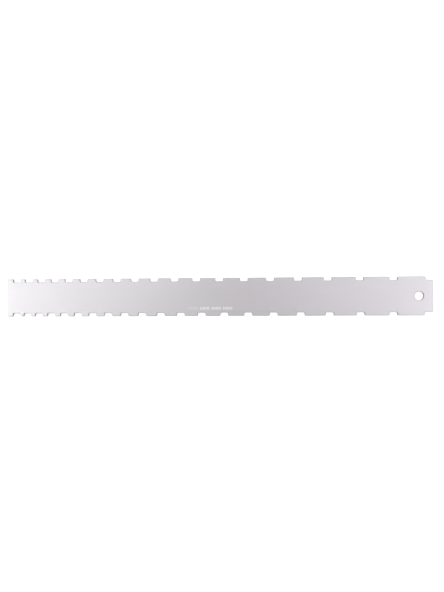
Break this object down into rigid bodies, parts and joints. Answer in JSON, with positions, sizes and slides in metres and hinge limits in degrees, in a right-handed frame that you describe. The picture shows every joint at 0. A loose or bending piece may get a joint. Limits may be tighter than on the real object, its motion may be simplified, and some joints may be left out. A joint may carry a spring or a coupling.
{
  "type": "notched straightedge",
  "caption": "Flat steel straightedge for a guitar neck: both long edges are cut with slots at the fret positions, one per scale length, with a hanging hole at the nut end.",
  "frame": {"origin": "centre of the blade's length and width, on its back face", "axes": "+X along the length, towards the nut end with the hanging hole; +Y towards the long-scale edge; +Z out of the face with the etched marks"},
  "size_m": [0.445, 0.0396, 0.002],
  "materials": {
    "blade_steel": "satin stainless sheet, fine grain along its length"
  },
  "bodies": {
    "root": {"blade": "blade_steel"}
  },
  "joints": []
}
